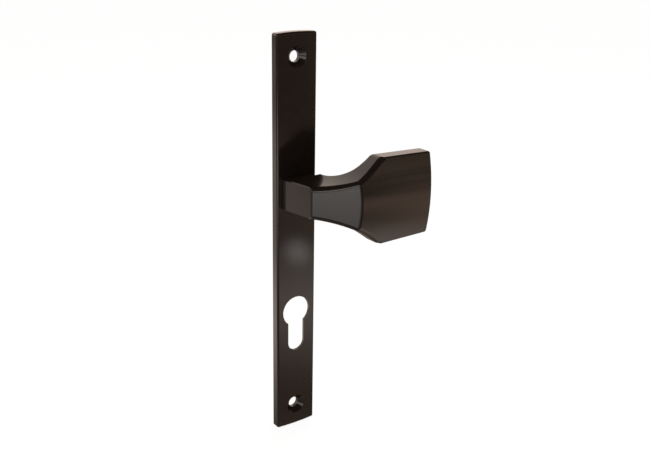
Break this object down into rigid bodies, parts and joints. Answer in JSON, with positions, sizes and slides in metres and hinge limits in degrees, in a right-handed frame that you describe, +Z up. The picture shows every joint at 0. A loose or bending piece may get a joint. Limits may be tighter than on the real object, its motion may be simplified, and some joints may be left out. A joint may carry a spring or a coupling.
{
  "type": "door lever handle set",
  "caption": "Door handle on a long narrow plate: a bent neck carries an offset paddle that turns on a sprung hub, above a profile cylinder hole and between countersunk screw holes.",
  "frame": {"origin": "where the spindle axis meets the door face", "axes": "+Z up along the plate, +X towards the paddle's free end, +Y into the door"},
  "size_m": [0.0751, 0.0493, 0.2345],
  "materials": {
    "coated_metal": "smooth satin dark bronze coat",
    "bearing_plastic": "moulded black",
    "spring_steel": "drawn wire, bright",
    "pressed_steel": "zinc plated"
  },
  "bodies": {
    "plate": {"face_plate": "coated_metal", "bearing_bush": "bearing_plastic", "return_spring": "spring_steel"},
    "handle": {"handle": "coated_metal", "spring_driver": "pressed_steel", "retaining_ring": "spring_steel", "grub_screw": "pressed_steel"}
  },
  "joints": [
    {"name": "handle_turn", "type": "hinge", "parent": "plate", "child": "handle", "pos_m": [0, 0, 0], "axis": [0, 1, 0], "range_deg": [-40, 40], "stiffness_Nm_per_rad": 0.6, "deforming": ["return_spring"]}
  ]
}
